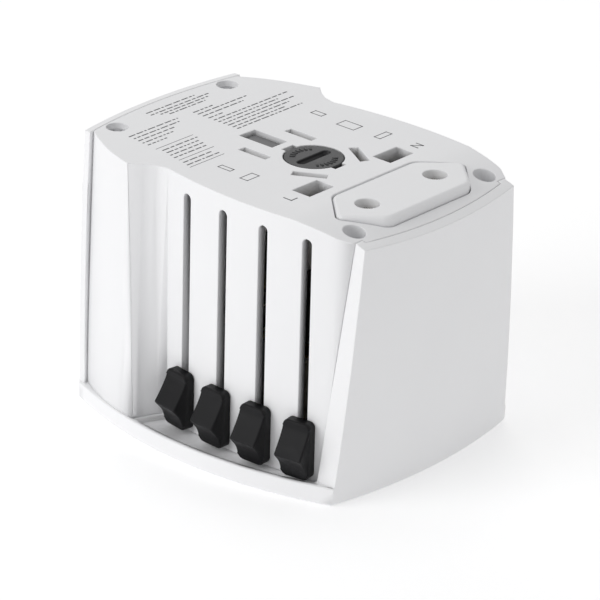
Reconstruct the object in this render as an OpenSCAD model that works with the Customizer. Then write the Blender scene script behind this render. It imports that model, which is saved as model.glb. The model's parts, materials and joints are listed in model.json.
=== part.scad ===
// Universal travel adapter: a pocket casing with four plug sets that slide out of
// one face and a universal socket in the other. It stands on its socket face.
// X runs along the casing, Y from the slider wall to the far wall, Z up.

/* [Casing] */
// Height from the socket face to the plug face
body_h = 53.2; // [52:0.1:54]
// Half the casing's length at the middle of an end wall, at the plug face
half_len = 36.6; // [36.2:0.1:37.4]
// Radius of the bow of each end wall, seen from above
end_bow_r = 110; // [100:1:130]
// Radius of the lean of each end wall, seen from the side
end_lean_r = 770; // [600:10:1000]
// Half the width of an end wall at the plug face
end_half_w = 20.6; // [20:0.1:21]
// How far an end wall's edge moves out per millimetre below the plug face
end_flare = 0.0757; // [0.06:0.001:0.08]
// Height of the base with its ledge
base_h = 3.8; // [3.5:0.1:3.9]
// Half the width of the base at the middle of its long sides
base_half_w = 30.9; // [30:0.1:32]
// Radius of the long sides of the base
base_bow_r = 85; // [80:1:95]
// Height of the floor of the tray in the ledge
tray_z = 2.8; // [2.6:0.1:3]
// Thickness of the rim round the tray
rim_t = 0.9; // [0.8:0.1:1.1]
// Thickness of the casing's walls
wall = 1.9; // [1.6:0.1:2]
// Thickness of the end wall at the -X end
low_end_t = 1.4; // [1.3:0.1:1.9]
// Thickness of the plug face
face_t = 2.2; // [2:0.1:2.4]
// Gap at the seam between the two shells
seam = 0.1; // [0.05:0.01:0.15]

/* [Slider wall] */
// Distance from the casing's middle plane to the slider wall
side_half_w = 24.9; // [24.6:0.1:25.2]
// Radius of the slider wall, seen from above
side_bow_r = 100; // [95:1:110]
// Place along X where the slider wall stands furthest out
side_mid_x = 9.1; // [8.8:0.1:9.4]
// Angle between neighbouring slider slots, about the slider wall's own axis
slot_step = 5.58; // [5.5:0.01:5.65]
// Width of a slider slot
slot_w = 2; // [1.9:0.1:2.2]
// Height of the top of the slider slots
slot_top = 50.1; // [49.9:0.1:50.3]
// Width of a slider knob
knob_w = 5.8; // [5.6:0.1:6.2]
// Height of the bottom of the knobs when the pins are in
knob_low = 3.7; // [3.6:0.1:4]
// Height of the top of the knobs when the pins are in
knob_high = 14.9; // [14.4:0.1:15]

/* [Plug sets] */
// Place along X of the British line and neutral pins
uk_x = 13.7; // [13.6:0.05:13.8]
// Distance along X from the British line pins to the earth pin
uk_earth_back = 22.23; // [22.2:0.01:22.26]
// Half the distance between the British line and neutral pins
uk_half_gap = 11.11; // [11.1:0.01:11.12]
// Place along X of the American blades
us_x = -4.8; // [-4.9:0.05:-4.7]
// Half the distance between the American blades
us_half_gap = 6.35; // [6.3:0.05:6.4]
// Place along X of the Australian blades
au_x = 9.1; // [9.05:0.05:9.2]
// Half the distance between the Australian blades' middles
au_half_gap = 6.86; // [6.8:0.02:6.9]
// Turn of each Australian blade
au_turn = 30; // [29:0.5:31]
// Place along X of the European pins and their block
eu_x = 25.2; // [25.1:0.05:25.3]
// Half the distance between the European pins
eu_half_gap = 9.4; // [9.3:0.05:9.5]
// Half the length of the European block
eu_half_l = 17.65; // [17.5:0.05:17.7]
// Half the width of the European block
eu_half_w = 6.85; // [6.8:0.05:6.9]

/* [Fuse] */
// Place along X of the fuse
fuse_x = 4; // [3.9:0.1:4.1]
// Radius of the fuse cap
fuse_cap_r = 5.6; // [5.5:0.05:5.65]
// Radius of the fuse
fuse_r = 2.6; // [2.5:0.05:2.65]
// Length of the fuse
fuse_l = 20; // [19.8:0.1:20]

/* [Hidden] */
$fn = 96;

far = 200;                              // larger than the whole object
side_axis_y = side_bow_r - side_half_w; // axis of the slider wall
base_axis_y = base_bow_r - base_half_w; // axis of a long side of the base
face_under = body_h - face_t;           // underside of the plug face
uk_earth_x = uk_x - uk_earth_back;
fit = 0.12;                             // clearance of a pin in the plug face

// Bulge of the side walls at the -X end: a bowed panel that leans out towards the
// base and ends at a crease
crease_x = -17.98;
crease_y = 26.42;
crease_tilt = -5.3;
panel_turn = 102.9; // direction that the panel faces at the crease
panel_tilt = -2.5;
panel_r = 43;

// A wedge runs from the crease to the slider wall. These are its corners beside the
// casing, at the plug face and at the base
wedge_top = [[crease_x, crease_y], [-15.9, 24.7], [-13.9, 23.45], [-11.2, 22.8], [-18.5, 21]];
wedge_foot = [[-13.4, 29.1], [-12.6, 26.6], [-11.8, 24.7], [-10.4, 22.7], [-18.5, 21]];
foot_turn = 26;     // direction that the foot of the wedge faces
tray_end_x = 27.9;

// Gentle drop of the plug face towards the +X end
dome_r = 52;
dome_x = 17.7;
dome_rise = 0.03;

// The corner of the plug shell at the +X end turns in along a flat
corner_turn = 58;
corner_x = 31.4;
corner_y = 21.7;

// Side seam at the +X end
seam_x = 32.5;
seam_lean = 0.092;
return_t = 1.9;

// Screw posts: two at the -X end and two at the +X end
low_screw_x = -31.5;
low_screw_y = 15.1;
high_screw_x = 29.7;
high_screw_y = 18.1;
post_split = 24;
low_post_r = 2.9;
high_post_r = 2.5;
low_head_z = 50.2;
high_head_z = 30;
head_t = 1.8;
head_r = 1.95;
shank_r = 1;
recess_r = 2.1;

// Socket in the base
socket_x = 5;
socket_low_x = -24;
socket_high_x = 17;
socket_half_w = 17.5;
socket_plate_t = 2;
shutter_low = 2.3;
shutter_high = 3.6;
shutter_travel = 7;
carrier_low = 3.9;
carrier_high = 20.5;

// Carriages
bar_low = 24;
bar_t = 2.4;
eu_bar_low = 10.5;
web_gap = 0.3;
web_t = 2;
web_w = 3;
stem_w = 1.8;
blade_top = body_h - 2;
earth_top = body_h - 0.7;
line_top = earth_top - 5;

// Collars that guide the pins under the plug face. They end above the highest slider bar
collar_low = 49.95;
collar_t = 0.8;
collar_root = 0.5;  // height of a collar inside the plug face

// Bayonet of the fuse cap
cap_t = 2;
cap_low = body_h - cap_t - 0.1;
hub_r = 5;
lug_r = 6.3;
lug_low = 50;
lug_t = 0.8;
notch_w = 3;
cup_r = 6.6;
cup_floor = 49.8;
tube_r = 4.2;
tube_bore_r = 3.1;
tube_low = 25.6;
fuse_low = 27.2;

// USB supply
board_x = -23.4;
board_t = 1.6;
usb_a_y = -5.4;
usb_a_w = 13;
usb_a_h = 5.2;
usb_c_y = 7.4;
usb_c_w = 8.9;
usb_c_h = 3.2;
port_z = 14.6;
port_face = -34.8;
led_z = 41;

// The part of space behind a plane that faces direction turn, leaning by tilt
module behind(turn, tilt = 0) {
    rotate([0, 0, turn])
        rotate([0, tilt, 0])
            translate([-far, -far / 2, -far / 2])
                cube([far, far, far]);
}

// A block given by its lowest and highest corners
module span(low, high) {
    translate(low)
        cube(high - low);
}

// A block with round vertical edges
module round_block(low, high, r) {
    span([low[0] + r, low[1], low[2]], [high[0] - r, high[1], high[2]]);
    span([low[0], low[1] + r, low[2]], [high[0], high[1] - r, high[2]]);
    for (x = [low[0] + r, high[0] - r])
        for (y = [low[1] + r, high[1] - r])
            translate([x, y, low[2]])
                cylinder(h = high[2] - low[2], r = r, $fn = 48);
}

// A coil spring of the given radius, wire radius, length and number of turns,
// standing on the origin
module coil(r, wire_r, length, turns) {
    sides = 8;
    rings = 14 * turns;
    points = [for (i = [0:rings]) for (k = [0:sides - 1])
        let (turn = 360 * turns * i / rings, around = 360 * k / sides, reach = r + wire_r * cos(around))
            [reach * cos(turn), reach * sin(turn), length * i / rings + wire_r * sin(around)]];
    skin = [for (i = [0:rings - 1]) for (k = [0:sides - 1])
        let (a = i * sides + k, b = i * sides + (k + 1) % sides)
            for (corners = [[a, b, b + sides], [a, b + sides, a + sides]]) corners];
    first_end = [for (k = [sides - 1:-1:0]) k];
    last_end = [for (k = [0:sides - 1]) rings * sides + k];
    polyhedron(points, concat(skin, [first_end, last_end]));
}

// An upright cylinder at x, y between two heights
module post(x, y, low, high, r) {
    translate([x, y, low])
        cylinder(h = high - low, r = r);
}

// Everything inside one leaning, bowed end wall, drawn for the +X end
module end_barrel(inset) {
    translate([half_len - end_bow_r, 0, 0])
        rotate_extrude($fn = 360)
            intersection() {
                translate([end_bow_r - end_lean_r, body_h])
                    circle(r = end_lean_r - inset, $fn = 720);
                square([end_bow_r + 1, body_h]);
            }
}

// Everything between the two end walls, pulled in at the +X and the -X end
module between_ends(high_inset, low_inset) {
    intersection() {
        end_barrel(high_inset);
        mirror([1, 0, 0])
            end_barrel(low_inset);
    }
}

// The width of the end walls, which flare out towards the base
module end_width(inset) {
    for (side = [0, 1])
        mirror([0, side, 0])
            intersection() {
                translate([0, end_half_w - inset, body_h])
                    behind(90, -atan(end_flare));
                span([-far / 2, 0, -1], [far / 2, far / 2, body_h + 1]);
            }
}

// What lies above the plug face where it drops towards the +X end, or above
// the same drop pulled in by inset
module face_drop(inset = 0) {
    difference() {
        span([dome_x, -40, body_h - 14], [half_len + 5, 40, body_h + 5]);
        translate([dome_x, 0, body_h + dome_rise - dome_r])
            rotate([90, 0, 0])
                cylinder(h = 100, r = dome_r - inset, center = true, $fn = 360);
    }
}

// The screw posts' places, for one half of a shell
module at_low_screws() {
    for (side = [-1, 1])
        translate([low_screw_x, side * low_screw_y, 0])
            children();
}

module at_high_screws() {
    for (side = [-1, 1])
        translate([high_screw_x, side * high_screw_y, 0])
            children();
}

// The plug shell between its two bowed side walls, filled, pulled in by inset
module side_fill(inset, low, high) {
    intersection() {
        translate([side_mid_x, side_axis_y, low])
            cylinder(h = high - low, r = side_bow_r - inset, $fn = 720);
        translate([side_mid_x, -side_axis_y, low])
            cylinder(h = high - low, r = side_bow_r - inset, $fn = 720);
        span([wedge_top[4][0] - 2, -40, low], [60, 40, high]);
        corner_flats(inset);
    }
}

// The two flats at the +X corners
module corner_flats(inset) {
    intersection() {
        translate([corner_x, corner_y, 0])
            rotate([0, 0, corner_turn])
                translate([-inset, 0, 0])
                    behind(0);
        translate([corner_x, -corner_y, 0])
            rotate([0, 0, -corner_turn])
                translate([-inset, 0, 0])
                    behind(0);
    }
}

// The bulge at the -X end, filled, pulled in by inset
module bulge_fill(inset, low, high) {
    intersection() {
        span([-60, -40, low], [0, 40, high]);
        bulge_side(inset);
        mirror([0, 1, 0])
            bulge_side(inset);
    }
}

module bulge_side(inset) {
    translate([crease_x, crease_y, body_h])
        intersection() {
            rotate([0, 0, panel_turn])
                rotate([0, panel_tilt, 0])
                    translate([-panel_r, 0, 0])
                        cylinder(h = far, r = panel_r - inset, center = true, $fn = 360);
            translate([-inset, 0, 0])
                behind(0, crease_tilt);
        }
}

// The wedges that lead from the creases of the bulge to the slider walls
module wedges(low) {
    n = len(wedge_top);
    top = [for (corner = wedge_top) [corner[0], corner[1], body_h]];
    foot = [for (corner = wedge_foot) [corner[0], corner[1], low]];
    skin = [for (i = [0:n - 1])
        let (j = (i + 1) % n)
            for (corners = [[j, i, i + n], [j, i + n, j + n]]) corners];
    top_face = [for (i = [0:n - 1]) i];
    foot_face = [for (i = [n - 1:-1:0]) n + i];
    for (side = [0, 1])
        mirror([0, side, 0])
            polyhedron(concat(top, foot), concat(skin, [top_face, foot_face]));
}

// What lies behind the foot of the wedge at +Y, moved forward by gap
module behind_foot(gap) {
    translate([wedge_foot[0][0] + 0.3, wedge_foot[0][1], 0])
        rotate([0, 0, foot_turn])
            translate([gap, 0, 0])
                behind(0);
}

// The American, Australian and British outlines, grown by gap
module us_outline(gap) {
    for (side = [-1, 1])
        translate([us_x, side * us_half_gap])
            square([6.35 + 2 * gap, 1.5 + 2 * gap], center = true);
}

module au_outline(gap) {
    for (side = [-1, 1])
        translate([au_x, side * au_half_gap])
            rotate(-side * au_turn)
                square([6.35 + 2 * gap, 1.6 + 2 * gap], center = true);
}

module uk_line_outline(gap) {
    for (side = [-1, 1])
        translate([uk_x, side * uk_half_gap])
            square([3.98 + 2 * gap, 6.35 + 2 * gap], center = true);
}

module uk_earth_outline(gap) {
    translate([uk_earth_x, 0])
        square([7.95 + 2 * gap, 3.97 + 2 * gap], center = true);
}

// The six-sided outline of the European block
module euro_outline(gap) {
    shoulder = 11.35;
    w = eu_half_w + gap;
    tip = eu_half_l + 2 * gap;
    translate([eu_x, 0])
        polygon([[-w, -shoulder], [0, -tip], [w, -shoulder], [w, shoulder], [0, tip], [-w, shoulder]]);
}

// Places its children at slider slot number i, with Y pointing into the casing
module at_slot(i) {
    translate([side_mid_x, side_axis_y, 0])
        rotate([0, 0, (i - 1.5) * slot_step])
            translate([0, -side_bow_r, 0])
                children();
}

// ---- Casing ----

module socket_shell() {
    color([0.96, 0.96, 0.97])
        difference() {
            union() {
                base();
                end_walls();
                intersection() {
                    between_ends(wall / 2, low_end_t / 2);
                    union() {
                        at_low_screws()
                            post(0, 0, base_h - 0.5, post_split - seam, low_post_r);
                        at_high_screws()
                            post(0, 0, base_h - 0.5, post_split - seam, high_post_r);
                    }
                }
            }
            round_block([socket_low_x, -socket_half_w, -1], [socket_high_x, socket_half_w, base_h + 1], 3);
            at_low_screws()
                post(0, 0, 12, post_split + 1, shank_r + 0.05);
            at_high_screws()
                post(0, 0, 8, post_split + 1, shank_r + 0.05);
            port_cuts();
        }
}

module base() {
    difference() {
        intersection() {
            between_ends(0, 0);
            translate([0, base_axis_y, 0])
                cylinder(h = base_h, r = base_bow_r, $fn = 720);
            translate([0, -base_axis_y, 0])
                cylinder(h = base_h, r = base_bow_r, $fn = 720);
        }
        for (side = [0, 1])
            mirror([0, side, 0])
                tray();
    }
}

// The shallow tray in the ledge at +Y, which also takes the foot of the slider wall
module tray() {
    difference() {
        intersection() {
            translate([0, -base_axis_y, tray_z])
                cylinder(h = 4, r = base_bow_r - rim_t, $fn = 720);
            span([-20, 15, tray_z], [tray_end_x, 40, tray_z + 4]);
        }
        side_fill(wall + seam, tray_z - 1, tray_z + 5);
        behind_foot(0);
    }
}

module end_walls() {
    difference() {
        intersection() {
            between_ends(0, 0);
            end_width(0);
        }
        difference() {
            between_ends(wall, low_end_t);
            end_returns();
        }
        face_drop();
    }
}

// Narrow flanges that carry the +X end wall a little way round its corners
module end_returns() {
    difference() {
        translate([seam_x, 0, body_h])
            rotate([0, atan(seam_lean), 0])
                translate([0, -far / 2, -far / 2])
                    cube([far, far, far]);
        end_width(return_t);
        at_high_screws()
            post(0, 0, post_split - 1, body_h + 1, high_post_r + seam);
    }
}

module port_cuts() {
    span([-40, usb_a_y - usb_a_w / 2 - 0.15, port_z - usb_a_h / 2 - 0.15],
        [port_face + 3, usb_a_y + usb_a_w / 2 + 0.15, port_z + usb_a_h / 2 + 0.15]);
    span([-40, usb_c_y - usb_c_w / 2 - 0.15, port_z - usb_c_h / 2 - 0.15],
        [port_face + 3, usb_c_y + usb_c_w / 2 + 0.15, port_z + usb_c_h / 2 + 0.15]);
    translate([-40, 0, led_z])
        rotate([0, 90, 0])
            cylinder(h = 8, r = 1.4);
}

module plug_shell() {
    low = base_h + seam;
    color([0.9, 0.9, 0.91])
        difference() {
            union() {
                difference() {
                    intersection() {
                        union() {
                            bulge_fill(0, low, body_h);
                            side_fill(0, low, body_h);
                            wedges(low);
                            wall_feet(low);
                        }
                        between_ends(wall + seam, low_end_t + seam);
                    }
                    difference() {
                        union() {
                            bulge_fill(wall, low - 2, face_under);
                            side_fill(wall, low - 2, face_under);
                        }
                        face_drop(face_t);
                    }
                    side_seam_cut();
                }
                intersection() {
                    between_ends(wall + seam, low_end_t + seam);
                    union() {
                        at_low_screws()
                            post(0, 0, post_split, body_h - 1, low_post_r);
                        at_high_screws()
                            post(0, 0, post_split, body_h - 1, high_post_r);
                        post(fuse_x, 0, cup_floor - 1.2, body_h - 1, cup_r + 0.8);
                        collars();
                    }
                }
            }
            face_drop();
            screw_cuts();
            plug_cuts();
            slot_cuts();
            fuse_cuts();
        }
}

// The feet of the slider walls, which stand in the trays
module wall_feet(low) {
    for (side = [0, 1])
        mirror([0, side, 0])
            difference() {
                intersection() {
                    side_fill(0, tray_z + seam, low + 1);
                    span([-20, 15, tray_z], [60, 40, low + 1]);
                }
                behind_foot(seam);
            }
}

// The plug shell's side walls stop at the leaning side seam of the +X end
module side_seam_cut() {
    intersection() {
        translate([seam_x - seam, 0, body_h])
            rotate([0, atan(seam_lean), 0])
                translate([0, -far / 2, -far / 2])
                    cube([far, far, far]);
        difference() {
            span([0, -40, base_h - 1], [60, 40, body_h + 1]);
            span([-1, -18.2, base_h - 2], [61, 18.2, face_under]);
            intersection() {
                span([-1, -40, face_under - 4], [61, 40, body_h + 2]);
                end_width(return_t + seam);
            }
        }
    }
}

module collars() {
    translate([0, 0, collar_low])
        linear_extrude(height = face_under + collar_root - collar_low) {
            us_outline(fit + collar_t);
            au_outline(fit + collar_t);
            uk_line_outline(fit + collar_t);
            uk_earth_outline(fit + collar_t);
        }
}

module screw_cuts() {
    at_low_screws() {
        post(0, 0, post_split - 1, body_h, shank_r + 0.2);
        post(0, 0, low_head_z, body_h + 1, recess_r);
    }
    at_high_screws() {
        post(0, 0, post_split - 1, body_h, shank_r + 0.2);
        post(0, 0, high_head_z, body_h + 1, recess_r);
    }
}

module plug_cuts() {
    translate([0, 0, face_under - 4])
        linear_extrude(height = face_t + 5) {
            us_outline(fit);
            au_outline(fit);
            uk_line_outline(fit);
            uk_earth_outline(fit);
            euro_outline(0.2);
        }
}

module slot_cuts() {
    for (i = [0:3])
        at_slot(i) {
            span([-slot_w / 2, -1, knob_low + 0.3], [slot_w / 2, wall + 1, slot_top - slot_w / 2]);
            translate([0, -1, slot_top - slot_w / 2])
                rotate([-90, 0, 0])
                    cylinder(h = wall + 2, d = slot_w, $fn = 48);
        }
}

module fuse_cuts() {
    post(fuse_x, 0, cup_floor, face_under, cup_r);
    post(fuse_x, 0, cup_floor, body_h + 1, fuse_cap_r + 0.15);
    post(fuse_x, 0, cup_floor - 3, body_h, tube_r + 0.05);
    span([fuse_x - cup_r, -notch_w / 2, cup_floor], [fuse_x + cup_r, notch_w / 2, body_h + 1]);
}

// ---- Socket in the base ----

// The holes that take any plug's pins, grown by gap
module socket_outline(gap) {
    for (side = [-1, 1]) {
        translate([socket_x, side * uk_half_gap])
            square([4.4 + 2 * gap, 6.8 + 2 * gap], center = true);
        translate([socket_x, side * 9.5])
            circle(r = 2.6 + gap);
        translate([socket_x, side * us_half_gap])
            square([6.9 + 2 * gap, 2 + 2 * gap], center = true);
        translate([socket_x, side * au_half_gap])
            rotate(side * au_turn)
                square([6.9 + 2 * gap, 2.1 + 2 * gap], center = true);
    }
    translate([socket_x - uk_earth_back, 0])
        square([8.4 + 2 * gap, 4.5 + 2 * gap], center = true);
}

module socket_plate() {
    color([0.25, 0.25, 0.27])
        difference() {
            round_block([socket_low_x + seam, -socket_half_w + seam, 0],
                [socket_high_x - seam, socket_half_w - seam, socket_plate_t], 2.9);
            translate([0, 0, -1])
                linear_extrude(height = 5)
                    socket_outline(0);
        }
}

module shutter_plate() {
    window_x = socket_x + shutter_travel;
    color([0.85, 0.45, 0.15])
        difference() {
            span([-12.4, -15.6, shutter_low], [16.6, 15.6, shutter_high]);
            for (side = [-1, 1])
                translate([window_x, side * 9.6, shutter_low - 1])
                    linear_extrude(height = 4)
                        square([7.2, 10.6], center = true);
            span([-13, -2.6, shutter_low - 1], [-4.5, 2.6, shutter_high + 1]);
        }
}

module shutter_spring() {
    spring_l = 11;
    color([0.75, 0.76, 0.78])
        translate([-12.65 - spring_l, 10, (shutter_low + shutter_high) / 2])
            rotate([0, 90, 0])
                coil(0.45, 0.2, spring_l, 5);
}

module contact_carrier() {
    color([0.8, 0.78, 0.7])
        difference() {
            union() {
                span([-1, -18.2, carrier_low], [16.4, 18.2, carrier_high]);
                span([-21.4, -4.4, carrier_low], [0, 4.4, carrier_high]);
            }
            for (side = [-1, 1])
                translate([socket_x - 4.6, side * 10 - 5.4, carrier_low + 1.6])
                    cube([9.2, 10.8, far]);
            span([-20.2, -3, carrier_low + 1.6], [-13, 3, far]);
            translate([0, 0, carrier_low - 1])
                linear_extrude(height = 4)
                    socket_outline(0.1);
            span([socket_x + 4, -13.2, carrier_high - 0.8], [18, -8.8, far]);
            span([socket_x + 4, 8.8, carrier_high - 0.8], [18, 13.2, far]);
        }
}

// A spring clip that grips one pin of whatever is plugged in
module pin_clip(side) {
    leaf = 0.6;
    color([0.85, 0.68, 0.35])
        translate([socket_x, side * 10, 0]) {
            for (end = [-1, 1])
                translate([end * 3.4 - leaf / 2, -4.8, carrier_low + 2])
                    cube([leaf, 9.6, carrier_high - carrier_low - 3]);
            translate([-3.7, -4.8, carrier_high - 1])
                cube([7.4, 9.6, leaf]);
        }
}

module line_contact() {
    pin_clip(-1);
}

module neutral_contact() {
    pin_clip(1);
}

// A strip that joins a clip to the pins of every set
module busbar(side) {
    color([0.85, 0.62, 0.3])
        translate([0, side * 11, 0]) {
            span([socket_x + 1, -2, carrier_high - 0.3], [17.7, 2, carrier_high + 0.3]);
            span([17.1, -2, carrier_high - 0.3], [17.7, 2, 49]);
        }
}

module line_busbar() {
    busbar(-1);
}

module neutral_busbar() {
    busbar(1);
}

// ---- Sliding plug sets ----

// The upright web behind slot i, with a strip that reaches in to the bar
module web(i, low, high) {
    at_slot(i)
        span([-web_w / 2, wall + web_gap, low], [web_w / 2, wall + web_gap + web_t, high]);
}

module bar(low_x, low_y, high_x, high_y, low = bar_low) {
    span([low_x, low_y, low], [high_x, high_y, low + bar_t]);
}

module us_carriage() {
    color([0.2, 0.2, 0.22])
        difference() {
            union() {
                web(0, knob_low + 1, bar_low + bar_t);
                bar(-7.4, -21, -3.6, -5);
                bar(-4.1, -6, -1.2, 6);
                bar(-8.2, 5, -1.2, 7.7);
                bar(-8.2, -7.7, -1.2, -5);
            }
            translate([0, 0, bar_low + 0.8])
                linear_extrude(height = bar_t)
                    us_outline(0.02);
        }
}

module au_carriage() {
    color([0.2, 0.2, 0.22])
        difference() {
            union() {
                web(1, knob_low + 1, bar_low + bar_t);
                bar(2.8, -21, 5.7, -8);
                bar(2.8, -10.6, 11.1, -8);
                bar(9.2, -9, 11.1, 9);
                translate([0, 0, bar_low])
                    linear_extrude(height = bar_t)
                        au_outline(0.5);
            }
            translate([0, 0, bar_low + 0.8])
                linear_extrude(height = bar_t)
                    au_outline(0.02);
        }
}

module uk_carriage() {
    color([0.2, 0.2, 0.22])
        difference() {
            union() {
                web(2, knob_low + 1, bar_low + bar_t);
                bar(13.4, -21, 15.7, 18);
                bar(uk_earth_x - 4, 15, 15.7, 18);
                bar(uk_earth_x - 4, -2.2, uk_earth_x - 0.7, 18);
                bar(uk_earth_x - 4, -2.2, uk_earth_x + 3.6, 2.2);
                for (side = [-1, 1])
                    bar(11.6, side * uk_half_gap - 3.3, 15.8, side * uk_half_gap + 3.3);
            }
            translate([0, 0, bar_low + 0.8])
                linear_extrude(height = bar_t) {
                    uk_line_outline(0.02);
                    uk_earth_outline(0.02);
                }
        }
}

module euro_carriage() {
    color([0.2, 0.2, 0.22])
        difference() {
            union() {
                web(3, knob_low + 1, eu_bar_low + bar_t);
                bar(22.4, -20, 27, 12.4, eu_bar_low);
            }
            for (side = [-1, 1])
                post(eu_x, side * eu_half_gap, eu_bar_low + 0.8, far, 1.5 + 0.02);
        }
}

// A slider knob with a ridge across it for the thumb, and the stem behind it
module knob(i) {
    off = 0.15;
    ridge_y = 5;
    ridge_z = 8.7;
    color([0.14, 0.14, 0.15])
        at_slot(i) {
            intersection() {
                rotate([90, 0, 0])
                    round_block([-knob_w / 2, knob_low, off], [knob_w / 2, knob_high, ridge_y + 1], 1.4);
                translate([-knob_w, 0, 0])
                    rotate([90, 0, 90])
                        linear_extrude(height = 2 * knob_w)
                            polygon([[1, knob_high + 1], [-2.15, knob_high + 1], [-2.15, knob_high - 1.2],
                                [-2.9, knob_high - 3], [-3.9, ridge_z + 1.6], [-ridge_y, ridge_z],
                                [-4.2, ridge_z - 0.9], [-3.1, ridge_z - 2.2], [-2.6, ridge_z - 3.8],
                                [-2.3, knob_low - 1], [1, knob_low - 1]]);
            }
            span([-stem_w / 2, -off - 0.6, knob_low + 1], [stem_w / 2, wall + web_gap, knob_high - 1.6]);
        }
}

module us_knob() {
    knob(0);
}

module au_knob() {
    knob(1);
}

module uk_knob() {
    knob(2);
}

module euro_knob() {
    knob(3);
}

module us_blades() {
    color([0.8, 0.8, 0.8])
        translate([0, 0, bar_low + 0.8])
            linear_extrude(height = blade_top - bar_low - 0.8)
                us_outline(0);
}

module au_blades() {
    color([0.8, 0.8, 0.8])
        translate([0, 0, bar_low + 0.8])
            linear_extrude(height = blade_top - bar_low - 0.8)
                au_outline(0);
}

// The bare outer part of the British line and neutral pins and their waisted roots
module uk_pins() {
    bare = 9;
    color([0.8, 0.8, 0.8]) {
        translate([0, 0, line_top - bare])
            linear_extrude(height = bare)
                uk_line_outline(0);
        translate([0, 0, bar_low + 0.8])
            linear_extrude(height = line_top - bare - bar_low - 0.8)
                uk_line_outline(-0.6);
    }
}

module uk_pin_sleeves() {
    bare = 9;
    color([0.12, 0.12, 0.13])
        translate([0, 0, bar_low + 0.8])
            linear_extrude(height = line_top - bare - bar_low - 0.8)
                difference() {
                    uk_line_outline(0);
                    uk_line_outline(-0.6);
                }
}

module uk_earth_pin() {
    color([0.3, 0.3, 0.32])
        translate([0, 0, bar_low + 0.8])
            linear_extrude(height = earth_top - bar_low - 0.8)
                uk_earth_outline(0);
}

// A round European pin: waisted under its sleeve, full size near the tip
module euro_pins() {
    tip = body_h - 1.2;
    bare = 10;
    color([0.82, 0.82, 0.82])
        for (side = [-1, 1]) {
            post(eu_x, side * eu_half_gap, eu_bar_low + 0.8, tip - bare, 1.5);
            post(eu_x, side * eu_half_gap, tip - bare, tip - 0.8, 2);
            translate([eu_x, side * eu_half_gap, tip - 0.8])
                cylinder(h = 0.8, r1 = 2, r2 = 1.3);
        }
}

module euro_pin_sleeves() {
    tip = body_h - 1.2;
    bare = 10;
    color([0.2, 0.2, 0.21])
        for (side = [-1, 1])
            difference() {
                post(eu_x, side * eu_half_gap, eu_bar_low + bar_t, tip - bare, 1.95);
                post(eu_x, side * eu_half_gap, eu_bar_low, tip, 1.51);
            }
}

module euro_block() {
    block_low = 34.4;
    color([0.9, 0.9, 0.91])
        difference() {
            translate([0, 0, block_low])
                linear_extrude(height = body_h - block_low)
                    euro_outline(0);
            for (side = [-1, 1])
                post(eu_x, side * eu_half_gap, block_low - 1, far, 2.3);
        }
}

// ---- Fuse ----

module fuse_holder() {
    color([0.3, 0.3, 0.32])
        difference() {
            post(fuse_x, 0, tube_low, cup_floor - 0.05, tube_r);
            post(fuse_x, 0, tube_low + 0.8, far, tube_bore_r);
        }
}

module fuse_cap() {
    slot_l = 8.4;
    slot_wide = 1.7;
    color([0.42, 0.42, 0.43])
        translate([fuse_x, 0, 0])
            difference() {
                union() {
                    post(0, 0, cap_low, body_h - 0.1, fuse_cap_r);
                    post(0, 0, lug_low, cap_low, hub_r);
                    intersection() {
                        post(0, 0, lug_low, lug_low + lug_t, lug_r);
                        span([-1.2, -lug_r, lug_low - 1], [1.2, lug_r, lug_low + 2]);
                    }
                }
                span([-slot_wide / 2, -slot_l / 2 + 0.85, body_h - 1.3],
                    [slot_wide / 2, slot_l / 2 - 0.85, body_h + 1]);
                for (end = [-1, 1])
                    post(0, end * (slot_l / 2 - 0.85), body_h - 1.3, body_h + 1, slot_wide / 2);
            }
}

module fuse_spring() {
    wire = 0.22;
    low = fuse_low + fuse_l + wire + 0.05;
    color([0.75, 0.76, 0.78])
        translate([fuse_x, 0, low])
            coil(1.9, wire, lug_low - low - wire - 0.05, 3);
}

module fuse_glass() {
    color([0.85, 0.9, 0.92, 0.5])
        difference() {
            post(fuse_x, 0, fuse_low + 0.5, fuse_low + fuse_l - 0.5, fuse_r - 0.25);
            post(fuse_x, 0, fuse_low, fuse_low + fuse_l, fuse_r - 0.8);
        }
}

module fuse_end_caps() {
    cap_l = 5;
    color([0.82, 0.82, 0.84])
        for (low = [fuse_low, fuse_low + fuse_l - cap_l])
            difference() {
                post(fuse_x, 0, low, low + cap_l, fuse_r);
                post(fuse_x, 0, fuse_low + 0.4, fuse_low + fuse_l - 0.4, fuse_r - 0.24);
            }
}

module fuse_base_contact() {
    color([0.85, 0.68, 0.35])
        post(fuse_x, 0, tube_low + 0.85, fuse_low - 0.05, tube_bore_r - 0.2);
}

// ---- USB supply in the bulge ----

module usb_board() {
    color([0.1, 0.4, 0.2])
        span([board_x, -16.5, 5], [board_x + board_t, 16.5, 46]);
}

module usb_a_port() {
    sheet = 0.4;
    color([0.8, 0.8, 0.82])
        translate([0, usb_a_y, port_z]) {
            difference() {
                span([port_face, -usb_a_w / 2, -usb_a_h / 2], [board_x - 0.05, usb_a_w / 2, usb_a_h / 2]);
                span([port_face - 1, -usb_a_w / 2 + sheet, -usb_a_h / 2 + sheet],
                    [board_x - 1, usb_a_w / 2 - sheet, usb_a_h / 2 - sheet]);
            }
            span([port_face + 0.8, -5.4, 0.1], [board_x - 0.5, 5.4, 1.9]);
        }
}

module usb_c_port() {
    sheet = 0.3;
    color([0.8, 0.8, 0.82])
        translate([0, usb_c_y, port_z]) {
            difference() {
                usb_c_bar(port_face, board_x - 0.05, 0);
                usb_c_bar(port_face - 1, board_x - 1, sheet);
            }
            span([port_face + 0.6, -3.2, -0.35], [board_x - 0.5, 3.2, 0.35]);
        }
}

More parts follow.
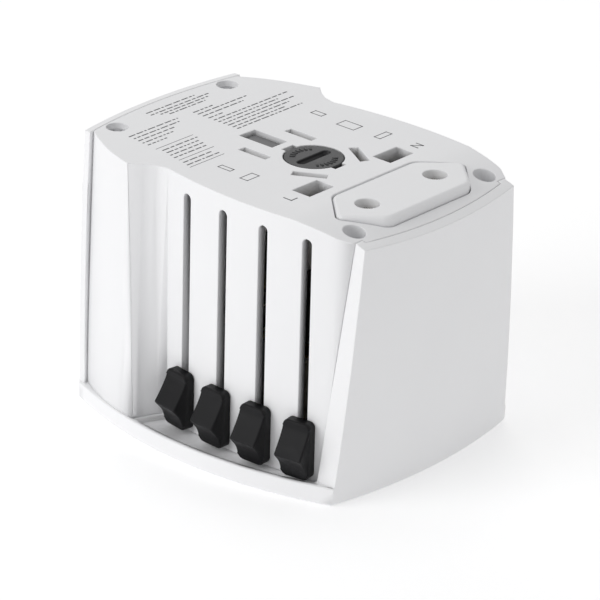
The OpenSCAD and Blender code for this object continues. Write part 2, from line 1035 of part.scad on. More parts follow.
module usb_c_bar(low_x, high_x, inset) {
    round_end = usb_c_h / 2;
    flat = usb_c_w / 2 - round_end;
    span([low_x, -flat, -round_end + inset], [high_x, flat, round_end - inset]);
    for (end = [-1, 1])
        translate([low_x, end * flat, 0])
            rotate([0, 90, 0])
                cylinder(h = high_x - low_x, r = round_end - inset, $fn = 48);
}

module usb_transformer() {
    color([0.85, 0.75, 0.2]) {
        span([-33, -10.6, 22], [board_x - 0.05, 1.6, 25]);
        span([-31.8, -9, 25], [board_x - 1.4, 0, 33]);
        span([-33, -10.6, 33], [board_x - 0.05, 1.6, 36]);
    }
}

module usb_capacitor() {
    color([0.15, 0.2, 0.4])
        translate([-33.4, 7, 29])
            rotate([0, 90, 0])
                cylinder(h = board_x + 33.4 - 0.05, r = 3.8);
}

module power_led() {
    color([0.7, 0.9, 0.95])
        translate([-36.6, 0, led_z])
            rotate([0, 90, 0])
                cylinder(h = board_x + 36.6 - 0.05, r = 1.25);
}

// ---- Fasteners ----

module casing_screws() {
    color([0.7, 0.7, 0.72]) {
        at_low_screws()
            screw(low_head_z, 14);
        at_high_screws()
            screw(high_head_z, 10);
    }
}

// A cross-head screw whose head sits on height seat and whose tip is at height tip
module screw(seat, tip) {
    difference() {
        union() {
            post(0, 0, tip, seat + 0.2, shank_r);
            post(0, 0, seat, seat + head_t, head_r);
        }
        for (turn = [0, 90])
            rotate([0, 0, turn])
                span([-0.3, -1.3, seat + head_t - 0.9], [0.3, 1.3, seat + head_t + 1]);
    }
}

socket_shell();
plug_shell();
socket_plate();
shutter_plate();
shutter_spring();
contact_carrier();
line_contact();
neutral_contact();
line_busbar();
neutral_busbar();
us_carriage();
au_carriage();
uk_carriage();
euro_carriage();
us_knob();
au_knob();
uk_knob();
euro_knob();
us_blades();
au_blades();
uk_pins();
uk_pin_sleeves();
uk_earth_pin();
euro_pins();
euro_pin_sleeves();
euro_block();
fuse_cap();
fuse_spring();
fuse_glass();
fuse_end_caps();
fuse_base_contact();
fuse_holder();
usb_board();
usb_a_port();
usb_c_port();
usb_transformer();
usb_capacitor();
power_led();
casing_screws();
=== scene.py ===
# %% [markdown]
# A universal travel adapter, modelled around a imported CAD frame.
# The frame holds every working part at its true size, in metres, with X along the
# casing, Y from the slider wall to the plain wall, and Z up. This lesson gives each
# part its finish, and rebuilds the parts whose edges and shapes people look at.

import json
import math

import bmesh
import bpy
from mathutils import Matrix, Vector


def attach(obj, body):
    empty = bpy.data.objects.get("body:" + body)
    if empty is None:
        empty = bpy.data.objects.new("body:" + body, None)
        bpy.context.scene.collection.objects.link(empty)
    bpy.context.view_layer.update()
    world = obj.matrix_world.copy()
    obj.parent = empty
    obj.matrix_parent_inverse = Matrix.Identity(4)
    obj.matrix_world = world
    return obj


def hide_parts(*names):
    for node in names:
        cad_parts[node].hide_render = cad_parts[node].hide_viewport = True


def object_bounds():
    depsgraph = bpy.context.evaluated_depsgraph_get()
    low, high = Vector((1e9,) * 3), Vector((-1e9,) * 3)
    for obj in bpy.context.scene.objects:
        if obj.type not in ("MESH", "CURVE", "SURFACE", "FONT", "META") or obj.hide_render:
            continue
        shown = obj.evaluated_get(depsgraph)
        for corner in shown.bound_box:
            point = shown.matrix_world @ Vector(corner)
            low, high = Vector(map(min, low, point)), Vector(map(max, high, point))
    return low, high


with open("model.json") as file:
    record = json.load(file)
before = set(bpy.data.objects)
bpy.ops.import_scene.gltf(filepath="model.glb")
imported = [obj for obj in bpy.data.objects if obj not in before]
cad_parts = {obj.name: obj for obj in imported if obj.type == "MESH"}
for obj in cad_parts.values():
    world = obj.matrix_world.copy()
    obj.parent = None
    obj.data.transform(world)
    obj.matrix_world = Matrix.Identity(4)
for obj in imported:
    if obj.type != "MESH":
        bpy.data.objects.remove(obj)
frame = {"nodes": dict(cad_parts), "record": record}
cad_low, cad_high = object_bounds()
nodes = frame["nodes"]
MM = 0.001
print("CAD box, mm:", [round(c / MM, 1) for c in cad_high - cad_low])

# %% [markdown]
# The camera is a long lens, far away. A long lens keeps upright edges nearly parallel,
# as in a catalogue view. Its three axes are given as directions, and the matrix made
# of them places and turns it in one step.

# %% Camera
camera_data = bpy.data.cameras.new("long_lens")
camera_data.sensor_width = 36
camera_data.lens = 250.2
camera_data.clip_start = 0.05
camera_data.clip_end = 20
camera = bpy.data.objects.new("camera", camera_data)
bpy.context.scene.collection.objects.link(camera)
bpy.context.scene.camera = camera

look = Vector((-0.59865, 0.68445, -0.4161)).normalized()
right = Vector((0.74542, 0.66619, 0.02339))
right = (right - look * right.dot(look)).normalized()
up = right.cross(look)
camera.matrix_world = Matrix.Translation((0.46786, -0.53317, 0.34759)) @ Matrix(
    (right, up, -look)).transposed().to_4x4()
print("camera looks along", [round(c, 3) for c in look])

# %% [markdown]
# Soft light comes from large area lamps. White plastic shows its shape only through
# small changes of brightness, so the slider wall faces the brightest lamp, the plug face
# gets less, and the end wall on the right is left in gentle shade.

# %% Lights, air and floor
def lamp(name, place, aim, size, watts):
    data = bpy.data.lights.new(name, "AREA")
    data.shape = "DISK"
    data.size = size
    data.energy = watts
    made = bpy.data.objects.new(name, data)
    bpy.context.scene.collection.objects.link(made)
    made.location = place
    made.rotation_euler = (Vector(aim) - Vector(place)).to_track_quat("-Z", "Y").to_euler()
    print(name, "at", place, watts, "W")


middle = (0, 0, 0.026)
lamp("wall_light", (-0.3, -0.72, 0.35), middle, 0.6, 2.5)
lamp("top_light", (-0.1, 0.1, 0.9), middle, 0.7, 1.25)
lamp("end_light", (0.9, 0.0, 0.3), middle, 0.6, 0.05)
lamp("back_light", (-0.6, 0.6, 0.5), middle, 0.6, 0.8)

scene = bpy.context.scene
scene.view_settings.view_transform = "Standard"
world = bpy.data.worlds.new("studio_air")
world.use_nodes = True
world.node_tree.nodes["Background"].inputs["Color"].default_value = (1, 1, 1, 1)
world.node_tree.nodes["Background"].inputs["Strength"].default_value = 0.5
scene.world = world

# %% [markdown]
# A material is a small machine of nodes. Writing it as sums keeps it readable, so a
# Wire wraps one output of a node and knows how to add, multiply and subtract. A Finish
# owns the tree, and its one method make() adds any other node.

# %% Wires and finishes
class Wire:
    """One value in a material, which can be used in a sum."""

    def __init__(self, finish, socket):
        self.finish = finish
        self.socket = socket

    def sum(self, operation, *values):
        return self.finish.make("ShaderNodeMath", {"operation": operation}, dict(enumerate(values)))

    def __add__(self, other):
        return self.sum("ADD", self, other)

    __radd__ = __add__

    def __sub__(self, other):
        return self.sum("SUBTRACT", self, other)

    def __rsub__(self, other):
        return self.sum("SUBTRACT", other, self)

    def __mul__(self, other):
        return self.sum("MULTIPLY", self, other)

    __rmul__ = __mul__

    def __gt__(self, other):
        return self.sum("GREATER_THAN", self, other)

    def __lt__(self, other):
        return self.sum("LESS_THAN", self, other)

    def size(self):
        return self.sum("ABSOLUTE", self)

    def clamped(self):
        return self.sum("MINIMUM", self.sum("MAXIMUM", self, 0), 1)


class Finish:
    """A material built from nodes around one Principled shader."""

    def __init__(self, name, constants):
        self.material = bpy.data.materials.new(name)
        self.material.use_nodes = True
        self.tree = self.material.node_tree
        self.shader = self.tree.nodes["Principled BSDF"]
        for socket, value in constants.items():
            self.shader.inputs[socket].default_value = value
        self.spot = self.make("ShaderNodeTexCoord", {}, {}, "Object")

    def make(self, kind, settings, inputs, output=0):
        node = self.tree.nodes.new(kind)
        for name, value in settings.items():
            if name == "stops":
                for stop, (place, shade) in zip(node.color_ramp.elements, value):
                    stop.position = place
                    stop.color = (*shade, 1)
            else:
                setattr(node, name, value)
        for name, value in inputs.items():
            if isinstance(value, Wire):
                self.tree.links.new(value.socket, node.inputs[name])
            else:
                node.inputs[name].default_value = value
        return Wire(self, node.outputs[output])

    def noise(self, scale, detail=2.0, rough=0.5):
        return self.make("ShaderNodeTexNoise", {},
                         {"Vector": self.spot, "Scale": scale, "Detail": detail, "Roughness": rough}, "Fac")

    def ramp(self, value, low, high):
        stops = [(low, (0, 0, 0)), (high, (1, 1, 1))]
        return self.make("ShaderNodeValToRGB", {"stops": stops}, {0: value}, "Color")

    def blend(self, factor, first, second):
        return self.make("ShaderNodeMix", {"data_type": "RGBA"}, {0: factor, 6: first, 7: second}, 2)

    def along(self, axis):
        return self.make("ShaderNodeSeparateXYZ", {}, {0: self.spot}, axis)

    def relief(self, height, distance, strength=1.0, under=None):
        inputs = {"Height": height, "Distance": distance, "Strength": strength}
        if under is not None:
            inputs["Normal"] = under
        return self.make("ShaderNodeBump", {}, inputs, "Normal")

    def feed(self, **sockets):
        for name, wire in sockets.items():
            self.tree.links.new(wire.socket, self.shader.inputs[name.replace("_", " ")])
        return self.material


def colour(r, g, b):
    return (r, g, b, 1)


print("toolkit ready")

# %% [markdown]
# Moulded plastic is never one flat colour. The mould leaves a fine spark-eroded grain,
# the wall sinks a little over ribs, and hands leave faint smooth scuffs. One recipe makes
# every plastic here, and only its colours, grain and gloss change.

# %% Moulded plastics
def moulded(name, pale, deep, rough, grain=0.012, scuffs=0.05, **constants):
    finish = Finish(name, {"Roughness": rough, "IOR": 1.47, **constants})
    cloud = finish.noise(55, 3)
    speck = finish.noise(5200, 2)
    wiped = finish.ramp(finish.noise(150, 5, 0.7), 0.52, 0.66)
    tone = finish.blend((cloud * 0.75 + speck * 0.25).clamped(), colour(*deep), colour(*pale))
    gloss = rough + (speck - 0.5) * 0.08 + (cloud - 0.5) * 0.06 - wiped * scuffs
    wave = finish.relief(finish.noise(90, 2), 0.02 * MM, 0.35)
    skin = finish.relief(speck, grain * MM, 0.6, wave)
    return finish.feed(Base_Color=tone, Roughness=gloss, Normal=skin)


finishes = {}
finishes["casing_white"] = moulded("casing_white", (0.90, 0.90, 0.91), (0.855, 0.857, 0.868), 0.42)
finishes["face_white"] = moulded("face_white", (0.875, 0.876, 0.886), (0.83, 0.832, 0.845), 0.46, 0.016)
finishes["socket_black"] = moulded("socket_black", (0.040, 0.040, 0.043), (0.024, 0.024, 0.026), 0.5)
finishes["shutter_orange"] = moulded("shutter_orange", (0.66, 0.22, 0.04), (0.56, 0.16, 0.03), 0.45)
finishes["carrier_cream"] = moulded("carrier_cream", (0.64, 0.60, 0.49), (0.56, 0.52, 0.41), 0.5)
finishes["knob_black"] = moulded("knob_black", (0.010, 0.010, 0.011), (0.006, 0.006, 0.007),
                                 0.5, 0.02, 0.12, **{"Specular IOR Level": 0.2})
finishes["carriage_black"] = moulded("carriage_black", (0.026, 0.026, 0.028), (0.017, 0.017, 0.018), 0.5)
finishes["pin_sleeve"] = moulded("pin_sleeve", (0.030, 0.030, 0.032), (0.020, 0.020, 0.022), 0.42)
finishes["earth_grey"] = moulded("earth_grey", (0.105, 0.105, 0.11), (0.078, 0.078, 0.083), 0.4)
finishes["fuse_cap_grey"] = moulded("fuse_cap_grey", (0.036, 0.036, 0.038), (0.026, 0.026, 0.028),
                                    0.45, 0.02)
print(len(finishes), "plastics")

# %% [markdown]
# Plated pins are rolled and drawn along their length, so their fine scratches run up and
# down. Stretching the noise along one axis gives those lines. Brass and steel use the
# same recipe with their own colours.

# %% Metals
def drawn_metal(name, pale, deep, rough, stretch):
    finish = Finish(name, {"Metallic": 1.0, "Roughness": rough})
    lines = finish.make("ShaderNodeMapping", {}, {"Vector": finish.spot, "Scale": stretch})
    scratch = finish.make("ShaderNodeTexNoise", {}, {"Vector": lines, "Scale": 900.0, "Detail": 3.0}, "Fac")
    stain = finish.noise(260, 4, 0.6)
    tone = finish.blend(finish.ramp(stain, 0.4, 0.75), colour(*pale), colour(*deep))
    gloss = rough + (scratch - 0.5) * 0.16 + (stain - 0.5) * 0.1
    return finish.feed(Base_Color=tone, Roughness=gloss, Normal=finish.relief(scratch, 0.006 * MM, 0.5))


finishes["pin_nickel"] = drawn_metal("pin_nickel", (0.80, 0.78, 0.74), (0.70, 0.67, 0.61), 0.24,
                                     (3, 3, 0.15))
finishes["brass"] = drawn_metal("brass", (0.80, 0.60, 0.27), (0.62, 0.43, 0.17), 0.3, (3, 3, 0.2))
finishes["steel"] = drawn_metal("steel", (0.66, 0.66, 0.67), (0.52, 0.52, 0.54), 0.32, (0.3, 3, 3))
print("metals added")

# %% [markdown]
# The parts hidden inside still have their own looks: a green board with copper tracks, a
# taped winding, a capacitor in its printed sleeve, and clear glass and light pipe. Places
# inside a part are picked out by comparing its coordinates with a few millimetre marks.

# %% Electrical finishes
def within(wire, centre, half):
    return (wire - centre * MM).size() < half * MM


board = Finish("board_green", {"Roughness": 0.32, "Coat Weight": 0.5})
tracks = board.make("ShaderNodeTexVoronoi", {"feature": "DISTANCE_TO_EDGE"},
                    {"Vector": board.spot, "Scale": 420.0})
lines = tracks < 0.09
solder = board.blend(lines, colour(0.012, 0.10, 0.035), colour(0.03, 0.20, 0.07))
finishes["board_green"] = board.feed(
    Base_Color=board.blend(board.noise(700) * 0.3, solder, colour(0.01, 0.05, 0.02)),
    Normal=board.relief(lines, 0.03 * MM))

winding = Finish("winding_yellow", {"Roughness": 0.45})
wound = within(winding.along(2), 29, 4)
turns = winding.make("ShaderNodeTexWave", {"bands_direction": "Z"},
                     {"Vector": winding.spot, "Scale": 700.0})
tape = winding.blend(winding.noise(500), colour(0.70, 0.50, 0.08), colour(0.60, 0.40, 0.05))
finishes["winding_yellow"] = winding.feed(
    Base_Color=winding.blend(wound, colour(0.02, 0.02, 0.02), tape),
    Normal=winding.relief(turns * wound, 0.06 * MM))

sleeve = Finish("capacitor_blue", {"Roughness": 0.28})
stripe = within(sleeve.along(1), 9.9, 0.9) * (sleeve.along(2) > 29 * MM)
finishes["capacitor_blue"] = sleeve.feed(
    Base_Color=sleeve.blend(stripe, colour(0.025, 0.035, 0.11), colour(0.55, 0.57, 0.62)),
    Normal=sleeve.relief(sleeve.noise(900), 0.02 * MM, 0.4))


def clear(name, tint, rough):
    finish = Finish(name, {"Transmission Weight": 0.9, "IOR": 1.5, "Roughness": rough})
    haze = finish.noise(400, 3)
    return finish.feed(Base_Color=finish.blend(haze, colour(*tint), colour(0.80, 0.86, 0.88)),
                       Roughness=rough + haze * 0.08)


finishes["fuse_glass"] = clear("fuse_glass", (0.92, 0.96, 0.97), 0.03)
finishes["led_clear"] = clear("led_clear", (0.90, 0.96, 0.99), 0.16)

port = Finish("port_shell", {"Roughness": 0.3})
across, height = port.along(1), port.along(2)
inside = port.along(0) > -34.05 * MM
tongue_a = within(across, -5.4, 5.45) * within(height, 15.6, 0.93) * inside
tongue_c = within(across, 7.4, 3.25) * within(height, 14.6, 0.37) * inside
tongue = (tongue_a + tongue_c).clamped()
rolled = port.noise(1500, 3)
tin = port.blend(rolled, colour(0.72, 0.72, 0.73), colour(0.60, 0.60, 0.62))
finishes["port"] = port.feed(
    Base_Color=port.blend(tongue, tin, colour(0.018, 0.018, 0.02)),
    Metallic=1 - tongue, Roughness=0.28 + rolled * 0.1,
    Normal=port.relief(rolled, 0.005 * MM, 0.5))

ink = Finish("print_grey", {"Roughness": 0.6})
finishes["print_grey"] = ink.feed(
    Base_Color=ink.blend(ink.noise(1800, 3), colour(0.13, 0.13, 0.135), colour(0.20, 0.20, 0.21)))
print(len(finishes), "finishes in all")

# %% [markdown]
# Every part in the frame gets the finish that its record names. Parts that are rebuilt
# below are hidden, and their new piece gets the same finish.

# %% Dress the frame
slots = {part["node"]: part["material_slot"] for part in frame["record"]["subparts"]}
for node, part in nodes.items():
    chosen = "port" if node in ("usb_a_port", "usb_c_port") else slots[node]
    part.data.materials.clear()
    part.data.materials.append(finishes[chosen])
print("dressed", len(nodes), "parts")

# %% [markdown]
# No moulded edge is truly sharp: it has a radius of a few tenths of a millimetre, and
# that radius catches a thin line of light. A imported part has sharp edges, so a copy of it
# is merged into one skin, its flat areas are joined, and chosen edges are rounded.

# %% Helpers for rounded parts
def merged_copy(node):
    skin = bmesh.new()
    skin.from_mesh(nodes[node].data)
    bmesh.ops.remove_doubles(skin, verts=skin.verts, dist=0.03 * MM)
    bmesh.ops.dissolve_degenerate(skin, dist=0.01 * MM, edges=skin.edges)
    bmesh.ops.dissolve_limit(skin, angle_limit=math.radians(0.6), verts=skin.verts, edges=skin.edges)
    return skin


def sharp_edges(skin, wanted=lambda edge, middle: True, angle=32):
    return [edge for edge in skin.edges
            if len(edge.link_faces) == 2 and edge.calc_face_angle() > math.radians(angle)
            and wanted(edge, (edge.verts[0].co + edge.verts[1].co) / (2 * MM))]


def round_off(skin, edges, radius, segments=3):
    bmesh.ops.bevel(skin, geom=edges, offset=radius * MM, offset_type="OFFSET", segments=segments,
                    profile=0.5, affect="EDGES", clamp_overlap=False, material=-1)


def is_upright(edge):
    way = edge.verts[0].co - edge.verts[1].co
    return abs(way.z) > 0.95 * way.length


def finish_piece(skin, name, body, slot_name, replaced=(), finish=None):
    mesh = bpy.data.meshes.new(name)
    skin.to_mesh(mesh)
    skin.free()
    mesh.shade_smooth()
    piece = bpy.data.objects.new(name, mesh)
    bpy.context.scene.collection.objects.link(piece)
    mesh.materials.append(finishes[finish or slot_name])
    even = piece.modifiers.new("even_shading", "WEIGHTED_NORMAL")
    even.weight = 80
    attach(piece, body)
    if replaced:
        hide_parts(*replaced)
    print(name, len(mesh.polygons), "faces, rides on", body)

# %% [markdown]
# The plug shell is one thin moulding: plug face, slider wall and bulge. Its opening
# corners and the crease of the bulge have larger radii than its rims, so those upright
# edges are rounded first, and every outer rim gets a fine radius after them. The crease
# leans, so rounding it pulls its top corner down, and the rim is set level again.

# %% Plug shell
TOP = cad_high.z / MM          # all places from here on are in millimetres
BLOCK_CORNERS = ((18.15, 11.35), (32.25, 11.35), (25.2, 18.05))
CREASE_X, CREASE_Y = 17.98, 26.42     # top of the crease, from the middle
CREASE_LEAN = (0.0927, 0.0543)        # how far it moves in X and Y for each step down
CREASE_LONG = 49.5
SIDE_X, SIDE_Y, SIDE_R = 9.1, 75.1, 100     # axis and radius of the bowed slider wall


def block_corner(middle):
    return any(abs(middle.x - x) < 0.8 and abs(abs(middle.y) - y) < 0.8 for x, y in BLOCK_CORNERS)


def on_crease(middle):
    down = TOP - middle.z
    off_x = middle.x + CREASE_X - CREASE_LEAN[0] * down
    off_y = abs(middle.y) - CREASE_Y - CREASE_LEAN[1] * down
    return down < CREASE_LONG and math.hypot(off_x, off_y) < 0.5


def on_slider_wall(middle):
    return abs(math.hypot(middle.x - SIDE_X, middle.y - SIDE_Y) - SIDE_R) < 0.12


skin = merged_copy("plug_shell")
round_off(skin, sharp_edges(skin, lambda e, m: is_upright(e) and block_corner(m) and m.z > 49), 1.2, 4)
round_off(skin, sharp_edges(skin, lambda e, m: is_upright(e) and on_crease(m)), 0.9, 4)
for corner in skin.verts:
    if corner.co.z > (TOP - 1) * MM and abs(corner.co.y) > 24 * MM:
        corner.co.z = TOP * MM
rims = sharp_edges(skin, lambda e, m: m.z > 52.3 or (m.x > 17 and m.z > 49.5) or on_slider_wall(m))
round_off(skin, rims, 0.16, 2)
for corner in skin.verts:
    corner.co.z = min(corner.co.z, TOP * MM)
finish_piece(skin, "plug_moulding", "casing", "face_white", ["plug_shell"])

# %% [markdown]
# The socket shell is the base with both end walls. The lip of the base is well rounded,
# because it is the edge a hand feels, and the rest is broken by a fine radius. Faces with
# many corners are cut into triangles first, because they wrap round the trays and the
# socket, and rounding their edges would close those openings over.

# %% Socket shell
BASE_R, BASE_H = 85, 3.8
BASE_AXIS_Y = BASE_R - cad_high.y / MM
MOST_CORNERS = 60


def on_base_side(middle):
    return abs(math.hypot(middle.x, abs(middle.y) + BASE_AXIS_Y) - BASE_R) < 0.25


def on_lip(middle):
    return on_base_side(middle) and abs(middle.z - BASE_H) < 0.1


def on_foot(middle):
    return middle.z < 0.1 and (on_base_side(middle) or abs(middle.x) > 30.5)


def on_outside(middle):
    return abs(middle.x) > 30 or abs(middle.y) > 22


skin = merged_copy("socket_shell")
bmesh.ops.triangulate(skin, faces=[face for face in skin.faces if len(face.verts) > MOST_CORNERS])
round_off(skin, sharp_edges(skin, lambda e, m: on_lip(m)), 0.35, 3)
round_off(skin, sharp_edges(skin, lambda e, m: on_foot(m)), 0.8, 4)
round_off(skin, sharp_edges(skin, lambda e, m: on_outside(m) and m.z > 4.6), 0.16, 2)
finish_piece(skin, "socket_moulding", "casing", "casing_white", ["socket_shell"])

# %% [markdown]
# The European block is a six-sided boss that slides out. Its upright corners and its top
# edge are soft, so that it finds its way into a wall socket.

# %% European block
PIN_X, PIN_Y = 25.2, 9.4


def by_pin_hole(middle):
    return math.hypot(middle.x - PIN_X, abs(middle.y) - PIN_Y) < 3


skin = merged_copy("euro_block")
round_off(skin, sharp_edges(skin, lambda e, m: is_upright(e) and abs(m.y) > 11), 1.25, 5)
round_off(skin, sharp_edges(skin, lambda e, m: m.z > 53 and not by_pin_hole(m)), 0.7, 5)
round_off(skin, sharp_edges(skin, lambda e, m: m.z > 53 and by_pin_hole(m)), 0.2, 3)
finish_piece(skin, "euro_boss", "euro_block", "face_white", ["euro_block"])

# %% [markdown]
# A thumb knob is one block across a slider slot. Seen from the side, it rises in a hollow
# curve to a ridge, and falls in another hollow curve, so a thumb can push it both ways.
# The outline starts as a few corners and is extruded to the knob's width. Its four front
# corners are rounded first, then each crease, and last the rim of the front.

# %% Thumb knobs
SLOT_TURN = 5.58     # degrees round the slider wall's axis from one slot to the next


def slot_place(number):
    turn = Matrix.Rotation(math.radians((number - 1.5) * SLOT_TURN), 4, "Z")
    return (Matrix.Translation((SIDE_X * MM, SIDE_Y * MM, 0)) @ turn
            @ Matrix.Translation((0, -SIDE_R * MM, 0)))


def box_skin(low, high):
    skin = bmesh.new()
    size = [b - a for a, b in zip(low, high)]
    bmesh.ops.create_cube(skin, size=1)
    bmesh.ops.scale(skin, vec=[s * MM for s in size], verts=skin.verts)
    bmesh.ops.translate(skin, vec=[(a + b) / 2 * MM for a, b in zip(low, high)], verts=skin.verts)
    return skin


def runs_along(edge, axis):
    way = edge.verts[0].co - edge.verts[1].co
    return abs(way[axis]) > 0.99 * way.length


OUTLINE = [(-0.15, 14.9), (-2.15, 14.9), (-2.15, 13.4), (-2.9, 11.9), (-3.9, 10.3), (-5.0, 8.7),
           (-4.2, 7.8), (-3.1, 6.5), (-2.6, 4.95), (-2.3, 3.7), (-0.15, 3.7)]
CREASES = {2: 0.6, 3: 0.7, 4: 0.8, 5: 0.3, 6: 0.55, 7: 0.75, 8: 0.55}


def knob_body():
    body = bmesh.new()
    rim = [body.verts.new((-2.9 * MM, y * MM, z * MM)) for y, z in OUTLINE]
    side = body.faces.new(rim)
    pulled = bmesh.ops.extrude_face_region(body, geom=[side], use_keep_orig=True)
    moved = [v for v in pulled["geom"] if isinstance(v, bmesh.types.BMVert)]
    bmesh.ops.translate(body, vec=(5.8 * MM, 0, 0), verts=moved)
    bmesh.ops.recalc_face_normals(body, faces=body.faces)
    round_off(body, [e for e in body.edges if runs_along(e, 1)
                     and abs(e.verts[0].co.y - e.verts[1].co.y) > 1.5 * MM], 1.15, 6)
    for corner, radius in CREASES.items():
        y, z = OUTLINE[corner]
        crease = [e for e in body.edges if runs_along(e, 0)
                  and (e.verts[0].co.yz - Vector((y * MM, z * MM))).length < 0.01 * MM]
        round_off(body, crease, radius, 5)
    front = [e for e in body.edges if len(e.link_faces) == 2
             and e.calc_face_angle() > math.radians(50)
             and e.verts[0].co.y < -2.1 * MM and e.verts[1].co.y < -2.1 * MM]
    round_off(body, front, 0.35, 3)
    return body


def add_skin(target, part):
    mesh = bpy.data.meshes.new("passing")
    part.to_mesh(mesh)
    part.free()
    target.from_mesh(mesh)
    bpy.data.meshes.remove(mesh)


for number, kind in enumerate(("us", "au", "uk", "euro")):
    knob = bmesh.new()
    add_skin(knob, knob_body())
    add_skin(knob, box_skin((-0.9, -0.75, 4.8), (0.9, 2.2, 13.2)))
    bmesh.ops.transform(knob, matrix=slot_place(number), verts=knob.verts)
    finish_piece(knob, kind + "_thumb_knob", kind + "_set", "knob_black", [kind + "_knob"])

# %% [markdown]
# The fuse cap turns with a coin. Its rim is rounded, and raised dashes round its edge give
# grip and stand where a maker would put moulded words.

# %% Fuse cap
CAP_X = 4
skin = merged_copy("fuse_cap")
round_off(skin, sharp_edges(skin, lambda e, m: m.z > 52.9), 0.22, 3)
fuse_axis = Matrix.Translation((CAP_X * MM, 0, 0))
for side in (0, 180):
    for step in range(-3, 4):
        dash = box_skin((3.4, -0.22, TOP - 0.15), (4.5, 0.22, TOP))
        round_off(dash, [e for e in dash.edges if is_upright(e)], 0.1, 2)
        bmesh.ops.transform(dash, matrix=fuse_axis @ Matrix.Rotation(
            math.radians(side + step * 13), 4, "Z"), verts=dash.verts)
        add_skin(skin, dash)
finish_piece(skin, "coin_cap", "fuse_cap", "fuse_cap_grey", ["fuse_cap"])

# %% [markdown]
# Pins have chamfered tips, so they enter a socket easily. The copy of each pin gets its
# top rim rounded, and nothing lower down changes.

# %% Pin tips
PINS = {"us_blades": ("us_set", 0.35), "au_blades": ("au_set", 0.35), "uk_pins": ("uk_set", 0.9),
        "uk_earth_pin": ("uk_set", 0.9), "euro_pins": ("euro_set", 1.1)}
for node, (body, radius) in PINS.items():
    skin = merged_copy(node)
    top = max(v.co.z for v in skin.verts) / MM
    round_off(skin, sharp_edges(skin, lambda e, m: m.z > top - 0.05, 28), radius, 3)
    finish_piece(skin, node.replace("blades", "flat_pins") + "_tipped", body, slots[node], [node])

# %% [markdown]
# The print on the plug face is a thin film of ink. Rows of short dashes of uneven length
# stand for lines of small type, and plain rectangles stand for its symbols. All of it is one
# piece, a fiftieth of a millimetre thick.

# %% Ink on the plug face
def ink_bar(film, x, y, length, width, turn=0.0):
    bar = box_skin((-length / 2, -width / 2, TOP - 0.01), (length / 2, width / 2, TOP + 0.012))
    bmesh.ops.transform(bar, matrix=Matrix.Translation((x * MM, y * MM, 0))
                        @ Matrix.Rotation(math.radians(turn), 4, "Z"), verts=bar.verts)
    add_skin(film, bar)


def ink_row(film, x, y_from, y_to, seed):
    """One line of type: dashes of uneven length that run along Y."""
    y = y_from
    step = seed
    while y < y_to:
        step = (step * 37 + 11) % 101
        length = 0.5 + 1.5 * step / 101
        length = min(length, y_to - y)
        if length > 0.2:
            ink_bar(film, x, y + length / 2, 0.34, length)
        y += length + 0.38


def ink_outline(film, corners, width=0.22):
    for (x0, y0), (x1, y1) in zip(corners, corners[1:] + corners[:1]):
        length = math.hypot(x1 - x0, y1 - y0)
        ink_bar(film, (x0 + x1) / 2, (y0 + y1) / 2, length + width, width,
                math.degrees(math.atan2(y1 - y0, x1 - x0)))


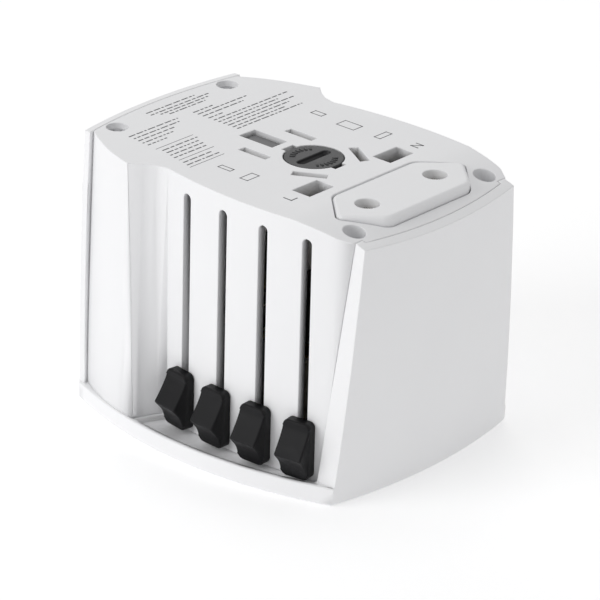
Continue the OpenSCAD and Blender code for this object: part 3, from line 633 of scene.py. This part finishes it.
film = bmesh.new()
for x, low_y, high_y in ((-32.2, -6.6, 6.6), (-31.0, -6.6, 9.2), (-30.0, -5.0, 8.0), (-29.0, -3.6, 6.2),
                         (-26.5, -17.2, -4.0), (-25.2, -17.2, -5.0), (-23.9, -17.4, -7.4),
                         (-22.6, -17.6, -9.4), (-21.3, -17.6, -12.0)):
    ink_row(film, x, low_y, high_y, int(low_y * 7 + x * 13) % 97)
for x, low_y, high_y in ((-26.3, 0.0, 5.4), (-25.1, 0.0, 13.4), (-23.8, 0.0, 11.2), (-22.4, 0.0, 4.2),
                         (-21.0, 0.0, 20.4), (-19.8, 0.0, 16.5), (-18.6, 0.0, 19.6), (-17.4, 0.0, 17.0),
                         (-16.2, 0.0, 14.4), (-15.1, 0.0, 18.2)):
    ink_row(film, x, low_y, high_y, int(high_y * 5 - x * 17) % 89)
for x, low_y, high_y in ((-17.6, -17.6, -8.2), (-16.3, -17.8, -8.8), (-15.0, -18.2, -9.4),
                         (-13.7, -18.6, -10.0), (-11.0, -19.0, -11.0), (-9.7, -19.4, -10.8)):
    ink_row(film, x, low_y, high_y, int(low_y * 11 - x * 7) % 83)
for x, low_y, high_y in ((-18.9, -18.0, -8.0), (-12.3, -18.8, -9.4), (-8.6, -19.8, -10.6)):
    ink_bar(film, x, (low_y + high_y) / 2, 0.16, high_y - low_y)
print("type rows inked")

# %% Ink symbols
for x, y, length, width in ((-3.7, -15.4, 3.0, 1.1), (2.1, -15.4, 1.8, 3.2),
                            (-9.4, 16.4, 2.6, 1.4), (-1.4, 16.1, 4.2, 2.6), (6.3, 16.8, 1.4, 3.4)):
    ink_outline(film, [(x - length / 2, y - width / 2), (x + length / 2, y - width / 2),
                       (x + length / 2, y + width / 2), (x - length / 2, y + width / 2)])
ink_bar(film, 13.8, -18.1, 2.1, 0.3)
ink_bar(film, 14.7, -17.3, 0.3, 1.7)
for y in (16.7, 18.3):
    ink_bar(film, 14.0, y, 1.9, 0.28)
ink_bar(film, 14.0, 17.5, 2.45, 0.28, 40)
finish_piece(film, "face_ink", "casing", "fuse_cap_grey", finish="print_grey")

# %% [markdown]
# The floor is a plain pale sheet, far wider than the view, so its edge never shows. It
# glows a little, so it comes out pure white like a catalogue page.

# %% Floor
sheet = bmesh.new()
bmesh.ops.create_grid(sheet, x_segments=8, y_segments=8, size=3)
mesh = bpy.data.meshes.new("floor")
sheet.to_mesh(mesh)
sheet.free()
floor = bpy.data.objects.new("floor", mesh)
bpy.context.scene.collection.objects.link(floor)
paper = Finish("studio_paper", {"Roughness": 0.9, "Emission Strength": 0.27})
sheet_white = paper.blend(paper.noise(4), colour(0.97, 0.97, 0.97), colour(0.95, 0.95, 0.955))
mesh.materials.append(paper.feed(Base_Color=sheet_white, Emission_Color=sheet_white))
print("floor laid")
